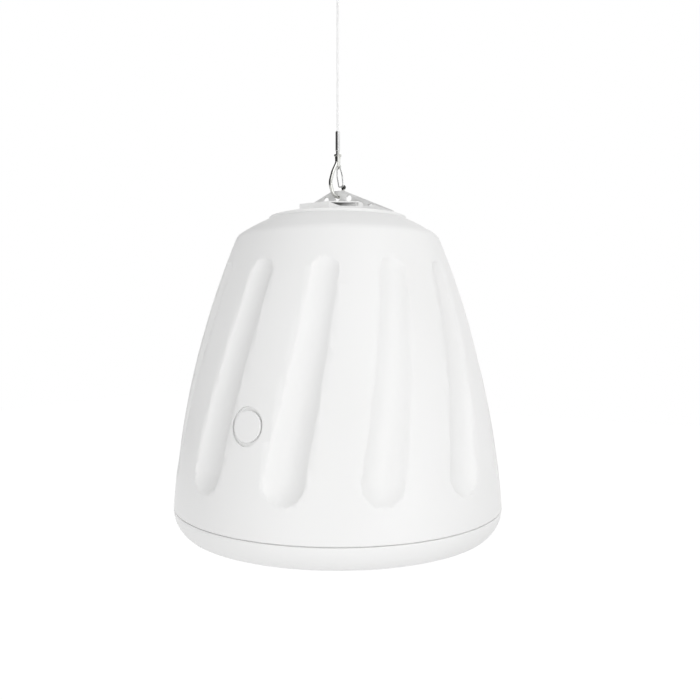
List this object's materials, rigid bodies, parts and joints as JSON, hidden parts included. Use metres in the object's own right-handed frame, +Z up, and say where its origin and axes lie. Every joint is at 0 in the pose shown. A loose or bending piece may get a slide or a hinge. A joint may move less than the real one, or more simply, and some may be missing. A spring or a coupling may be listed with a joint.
{
  "type": "pendant speaker",
  "caption": "Bell-shaped pendant loudspeaker with a fluted white shell, domed cap, hanging bracket and round plug, held by a snap hook on a thin wire rope.",
  "frame": {"origin": "centre of the hole in the eye at the rope's upper end", "axes": "+Z up along the rope; +Y along the eye's hole and the bracket's tilt holes, so the round plug faces -Y; +X to the right of someone who looks at the plug"},
  "size_m": [0.4, 0.4, 0.6897],
  "materials": {
    "white_moulding": "satin white moulding",
    "plug_plastic": "smooth white, slightly glossier than the bell",
    "grille_paint": "white powder coat on punched steel sheet",
    "bracket_steel": "dull zinc-plated steel sheet",
    "hook_steel": "bright zinc-plated bar",
    "gate_wire": "bright spring wire",
    "rope_steel": "stranded galvanised wire",
    "sleeve_metal": "drawn, pressed smooth",
    "eye_steel": "forged, zinc-plated",
    "fixing_steel": "zinc-plated",
    "seal_rubber": "soft black",
    "baffle_board": "dense board, raw",
    "black_plastic": "fine grain",
    "green_plastic": "smooth",
    "board_laminate": "laminate with a lacquer",
    "cone_pulp": "pressed pulp, dark",
    "spider_cloth": "resin-stiffened cloth",
    "basket_metal": "die cast",
    "motor_steel": "turned, plated",
    "ferrite": "dull sintered",
    "copper_wire": "enamelled",
    "core_steel": "stacked sheet edges",
    "film_capacitor": "wrapped film",
    "ceramic": "cement body",
    "lead_sleeve": "smooth sleeve"
  },
  "bodies": {
    "hanger": {"ceiling_eye": "eye_steel", "suspension_rope": "rope_steel", "swage_sleeve": "sleeve_metal", "snap_hook": "hook_steel"},
    "gate": {"hook_gate": "gate_wire"},
    "speaker": {"backing_plate": "bracket_steel", "badge_plug": "plug_plastic", "baffle": "baffle_board", "baffle_gasket": "seal_rubber", "baffle_screws": "fixing_steel", "bezel_gasket": "seal_rubber", "bezel_screws": "fixing_steel", "board_spacers": "motor_steel", "bottom_bezel": "white_moulding", "bracket_nuts": "fixing_steel", "bracket_screws": "fixing_steel", "cap_screws": "fixing_steel", "capacitors": "film_capacitor", "coil_former": "spider_cloth", "compression_driver": "motor_steel", "crossover_board": "board_laminate", "enclosure_shell": "white_moulding", "feed_leads": "lead_sleeve", "front_plate": "motor_steel", "grille": "grille_paint", "hanging_bracket": "bracket_steel", "inductors": "copper_wire", "input_header": "black_plastic", "input_leads": "lead_sleeve", "input_plug": "green_plastic", "lead_grommet": "seal_rubber", "magnet_ring": "ferrite", "plug_screws": "fixing_steel", "pole_piece": "motor_steel", "port_tubes": "black_plastic", "resistors": "ceramic", "spider": "spider_cloth", "strap_screws": "fixing_steel", "switch_leads": "lead_sleeve", "tap_switch": "black_plastic", "top_cap": "white_moulding", "transformer_core": "core_steel", "transformer_strap": "fixing_steel", "transformer_winding": "copper_wire", "tweeter_horn": "black_plastic", "unit_leads": "lead_sleeve", "unit_terminals": "black_plastic", "voice_coil": "copper_wire", "woofer_basket": "basket_metal", "woofer_cone": "cone_pulp", "woofer_gasket": "seal_rubber", "woofer_screws": "fixing_steel", "woofer_surround": "seal_rubber"},
    "tap": {"tap_knob": "black_plastic"}
  },
  "joints": [
    {"name": "speaker_swing", "type": "hinge", "parent": "hanger", "child": "speaker", "pos_m": [0, 0, -0.2777], "axis": [0.3371, 0.9415, 0], "range_deg": [-20, 20]},
    {"name": "gate_swing", "type": "hinge", "parent": "hanger", "child": "gate", "pos_m": [0.00047, 0.00132, -0.2412], "axis": [-0.9415, 0.3371, 0], "range_deg": [0, 22], "stiffness_Nm_per_rad": 0.01, "springref_deg": -22.92},
    {"name": "tap_turn", "type": "hinge", "parent": "speaker", "child": "tap", "pos_m": [-0.068, -0.11778, -0.66], "axis": [0, 0, 1], "range_deg": [-75, 75]}
  ]
}
